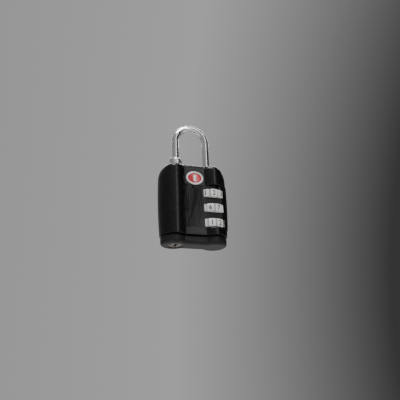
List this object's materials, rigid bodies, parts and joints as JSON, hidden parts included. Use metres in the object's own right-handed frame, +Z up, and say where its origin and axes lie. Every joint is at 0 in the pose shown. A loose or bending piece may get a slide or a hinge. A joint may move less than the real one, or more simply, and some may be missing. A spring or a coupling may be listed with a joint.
{
  "type": "combination padlock",
  "caption": "Small travel padlock with a smooth steel shackle, a collar on its long leg, rotating number dials and a key override in its base.",
  "frame": {"origin": "centre of the cap's flat bottom face", "axes": "+Z up along the shackle's legs, +X from the key cylinder's lobe to the dials' lobe, the dials face -Y"},
  "size_m": [0.0326, 0.0141, 0.062],
  "materials": {
    "black_gloss": "gloss black enamel on zinc die casting",
    "black_satin": "satin black enamel on zinc die casting",
    "badge_enamel": "red enamel in a white rim",
    "chrome": "polished chrome plate on steel rod",
    "collar_silver": "satin nickel plate",
    "dial_white": "white moulded dial with black filled digits",
    "brass": "machined",
    "spring_steel": "drawn wire and stamped sheet",
    "zinc": "plain zinc casting",
    "cylinder_nickel": "dull nickel plate on brass"
  },
  "bodies": {
    "case": {"shell": "black_gloss", "face_plate": "black_satin", "badge": "badge_enamel", "bottom_cap": "black_satin", "cap_pins": "black_gloss", "shackle_collar": "collar_silver", "cylinder_barrel": "cylinder_nickel", "detent_spring": "spring_steel", "shackle_spring": "spring_steel", "spindle_spring": "spring_steel", "bolt_spring": "spring_steel"},
    "shackle": {"shackle": "chrome", "heel_clip": "spring_steel"},
    "top_dial": {"dial_top": "dial_white", "clutch_top": "brass"},
    "middle_dial": {"dial_middle": "dial_white", "clutch_middle": "brass"},
    "bottom_dial": {"dial_bottom": "dial_white", "clutch_bottom": "brass"},
    "bolt": {"latch_bolt": "zinc"},
    "spindle": {"spindle": "zinc"},
    "plug": {"key_plug": "cylinder_nickel", "wafers": "brass", "cam": "zinc", "plug_clip": "spring_steel"}
  },
  "joints": [
    {"name": "shackle_lift", "type": "slide", "parent": "case", "child": "shackle", "axis": [0, 0, 1], "range_m": [0, 0.01], "deforming": ["shackle_spring"]},
    {"name": "top_dial_turn", "type": "hinge", "parent": "case", "child": "top_dial", "pos_m": [0.0086, -0.0006, 0.0243], "axis": [0, 0, 1], "continuous": true},
    {"name": "middle_dial_turn", "type": "hinge", "parent": "case", "child": "middle_dial", "pos_m": [0.0086, -0.0006, 0.0171], "axis": [0, 0, 1], "continuous": true},
    {"name": "bottom_dial_turn", "type": "hinge", "parent": "case", "child": "bottom_dial", "pos_m": [0.0086, -0.0006, 0.0099], "axis": [0, 0, 1], "continuous": true},
    {"name": "bolt_slide", "type": "slide", "parent": "case", "child": "bolt", "axis": [1, 0, 0], "range_m": [0, 0.0013], "deforming": ["bolt_spring"]},
    {"name": "spindle_rise", "type": "slide", "parent": "case", "child": "spindle", "axis": [0, 0, 1], "range_m": [0, 0.0013], "deforming": ["spindle_spring"]},
    {"name": "key_turn", "type": "hinge", "parent": "case", "child": "plug", "pos_m": [-0.0086, 0, 0.001], "axis": [0, 0, 1], "range_deg": [-90, 0]}
  ],
  "couplings": [
    {"joint": "spindle_rise", "follows": "bolt_slide", "ratio": 1}
  ]
}
